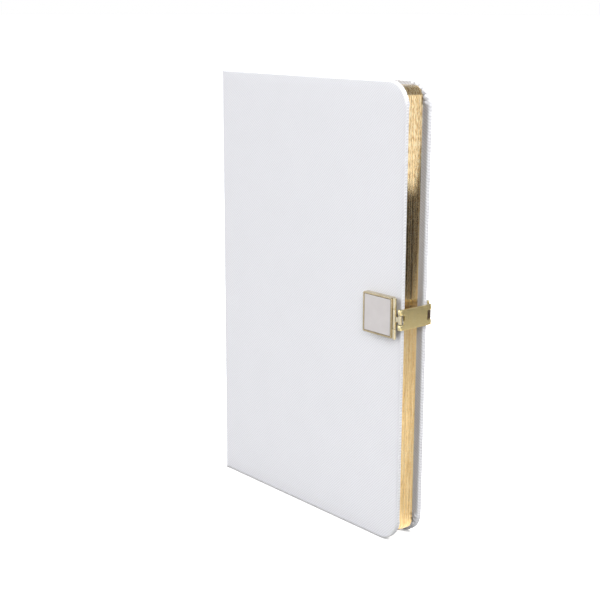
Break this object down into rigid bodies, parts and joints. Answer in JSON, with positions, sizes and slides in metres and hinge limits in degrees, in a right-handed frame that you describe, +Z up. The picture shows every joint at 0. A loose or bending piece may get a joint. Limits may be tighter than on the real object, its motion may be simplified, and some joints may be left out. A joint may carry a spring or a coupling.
{
  "type": "prayer book",
  "caption": "Upright pocket prayer book with padded cloth covers, gilt-edged page sections, and a hinged metal clasp that passes round the fore edge from one cover to the other.",
  "frame": {"origin": "under the middle of the box round the closed book, on the plane that the book stands on", "axes": "+Z up from tail to head; the spine is at -X and the fore edge at +X; the front cover faces -Y"},
  "size_m": [0.1334, 0.0228, 0.21],
  "materials": {
    "cover_cloth": "matte, fine twill weave",
    "foam": "soft, matte",
    "greyboard": "matte",
    "endpaper": "matte",
    "page_paper": "matte, gilt on the three open edges",
    "lining_gauze": "matte, open weave",
    "thread": "matte",
    "band_cloth": "satin",
    "clasp_gold": "polished, pale gold plate",
    "clasp_steel": "satin",
    "inlay": "smooth, satin"
  },
  "bodies": {
    "spine": {"spine_cloth": "cover_cloth", "spine_board": "greyboard", "spine_lining": "lining_gauze", "sewing_thread": "thread", "headband": "band_cloth", "tailband": "band_cloth"},
    "front_cover": {"front_cloth": "cover_cloth", "front_foam": "foam", "front_board": "greyboard", "front_pastedown": "endpaper", "front_clasp_base": "clasp_steel", "front_clasp_frame": "clasp_gold", "front_clasp_inlay": "inlay", "front_clasp_rivets": "clasp_steel", "front_hinge_pin": "clasp_gold"},
    "back_cover": {"back_cloth": "cover_cloth", "back_foam": "foam", "back_board": "greyboard", "back_pastedown": "endpaper", "rear_clasp_plate": "clasp_gold", "rear_clasp_rivets": "clasp_gold", "rear_hinge_pin": "clasp_gold"},
    "front_flyleaf": {"front_flyleaf": "endpaper"},
    "back_flyleaf": {"back_flyleaf": "endpaper"},
    "front_link": {"front_link": "clasp_gold", "front_link_pin": "clasp_gold"},
    "rear_link": {"rear_link": "clasp_gold"},
    "strap": {"strap": "clasp_gold", "strap_pin": "clasp_gold"},
    "section_01": {"section_01": "page_paper"},
    "section_02": {"section_02": "page_paper"},
    "section_03": {"section_03": "page_paper"},
    "section_04": {"section_04": "page_paper"},
    "section_05": {"section_05": "page_paper"},
    "section_06": {"section_06": "page_paper"},
    "section_07": {"section_07": "page_paper"},
    "section_08": {"section_08": "page_paper"},
    "section_09": {"section_09": "page_paper"},
    "section_10": {"section_10": "page_paper"},
    "section_11": {"section_11": "page_paper"},
    "section_12": {"section_12": "page_paper"}
  },
  "joints": [
    {"name": "front_cover_open", "type": "hinge", "parent": "spine", "child": "front_cover", "pos_m": [-0.06665, -0.00785, 0.105], "axis": [0, 0, -1], "range_deg": [0, 180]},
    {"name": "back_cover_open", "type": "hinge", "parent": "spine", "child": "back_cover", "pos_m": [-0.06665, 0.00915, 0.105], "axis": [0, 0, 1], "range_deg": [0, 180]},
    {"name": "front_flyleaf_turn", "type": "hinge", "parent": "spine", "child": "front_flyleaf", "pos_m": [-0.06345, -0.00473, 0.105], "axis": [0, 0, -1], "range_deg": [0, 105]},
    {"name": "section_01_turn", "type": "hinge", "parent": "spine", "child": "section_01", "pos_m": [-0.06345, -0.00419, 0.105], "axis": [0, 0, -1], "range_deg": [0, 90]},
    {"name": "section_02_turn", "type": "hinge", "parent": "spine", "child": "section_02", "pos_m": [-0.06345, -0.00331, 0.105], "axis": [0, 0, -1], "range_deg": [0, 75.6]},
    {"name": "section_03_turn", "type": "hinge", "parent": "spine", "child": "section_03", "pos_m": [-0.06345, -0.00243, 0.105], "axis": [0, 0, -1], "range_deg": [0, 61.2]},
    {"name": "section_04_turn", "type": "hinge", "parent": "spine", "child": "section_04", "pos_m": [-0.06345, -0.00155, 0.105], "axis": [0, 0, -1], "range_deg": [0, 46.8]},
    {"name": "section_05_turn", "type": "hinge", "parent": "spine", "child": "section_05", "pos_m": [-0.06345, -0.00067, 0.105], "axis": [0, 0, -1], "range_deg": [0, 32.4]},
    {"name": "section_06_turn", "type": "hinge", "parent": "spine", "child": "section_06", "pos_m": [-0.06345, 0.00021, 0.105], "axis": [0, 0, -1], "range_deg": [0, 18]},
    {"name": "section_07_turn", "type": "hinge", "parent": "spine", "child": "section_07", "pos_m": [-0.06345, 0.00109, 0.105], "axis": [0, 0, 1], "range_deg": [0, 18]},
    {"name": "section_08_turn", "type": "hinge", "parent": "spine", "child": "section_08", "pos_m": [-0.06345, 0.00197, 0.105], "axis": [0, 0, 1], "range_deg": [0, 32.4]},
    {"name": "section_09_turn", "type": "hinge", "parent": "spine", "child": "section_09", "pos_m": [-0.06345, 0.00285, 0.105], "axis": [0, 0, 1], "range_deg": [0, 46.8]},
    {"name": "section_10_turn", "type": "hinge", "parent": "spine", "child": "section_10", "pos_m": [-0.06345, 0.00373, 0.105], "axis": [0, 0, 1], "range_deg": [0, 61.2]},
    {"name": "section_11_turn", "type": "hinge", "parent": "spine", "child": "section_11", "pos_m": [-0.06345, 0.00461, 0.105], "axis": [0, 0, 1], "range_deg": [0, 75.6]},
    {"name": "section_12_turn", "type": "hinge", "parent": "spine", "child": "section_12", "pos_m": [-0.06345, 0.00549, 0.105], "axis": [0, 0, 1], "range_deg": [0, 90]},
    {"name": "back_flyleaf_turn", "type": "hinge", "parent": "spine", "child": "back_flyleaf", "pos_m": [-0.06345, 0.00602, 0.105], "axis": [0, 0, 1], "range_deg": [0, 105]},
    {"name": "front_link_swing", "type": "hinge", "parent": "front_cover", "child": "front_link", "pos_m": [0.0621, -0.01035, 0.1071], "axis": [0, 0, -1], "range_deg": [0, 110]},
    {"name": "rear_link_swing", "type": "hinge", "parent": "back_cover", "child": "rear_link", "pos_m": [0.06175, 0.01055, 0.1071], "axis": [0, 0, 1], "range_deg": [0, 60]},
    {"name": "strap_swing", "type": "hinge", "parent": "rear_link", "child": "strap", "pos_m": [0.0656, 0.00765, 0.1071], "axis": [0, 0, 1], "range_deg": [0, 90]}
  ],
  "couplings": [
    {"joint": "front_flyleaf_turn", "follows": "front_cover_open", "ratio": 0.58},
    {"joint": "section_01_turn", "follows": "front_cover_open", "ratio": 0.5},
    {"joint": "section_02_turn", "follows": "front_cover_open", "ratio": 0.42},
    {"joint": "section_03_turn", "follows": "front_cover_open", "ratio": 0.34},
    {"joint": "section_04_turn", "follows": "front_cover_open", "ratio": 0.26},
    {"joint": "section_05_turn", "follows": "front_cover_open", "ratio": 0.18},
    {"joint": "section_06_turn", "follows": "front_cover_open", "ratio": 0.1},
    {"joint": "section_07_turn", "follows": "back_cover_open", "ratio": 0.1},
    {"joint": "section_08_turn", "follows": "back_cover_open", "ratio": 0.18},
    {"joint": "section_09_turn", "follows": "back_cover_open", "ratio": 0.26},
    {"joint": "section_10_turn", "follows": "back_cover_open", "ratio": 0.34},
    {"joint": "section_11_turn", "follows": "back_cover_open", "ratio": 0.42},
    {"joint": "section_12_turn", "follows": "back_cover_open", "ratio": 0.5},
    {"joint": "back_flyleaf_turn", "follows": "back_cover_open", "ratio": 0.58}
  ]
}
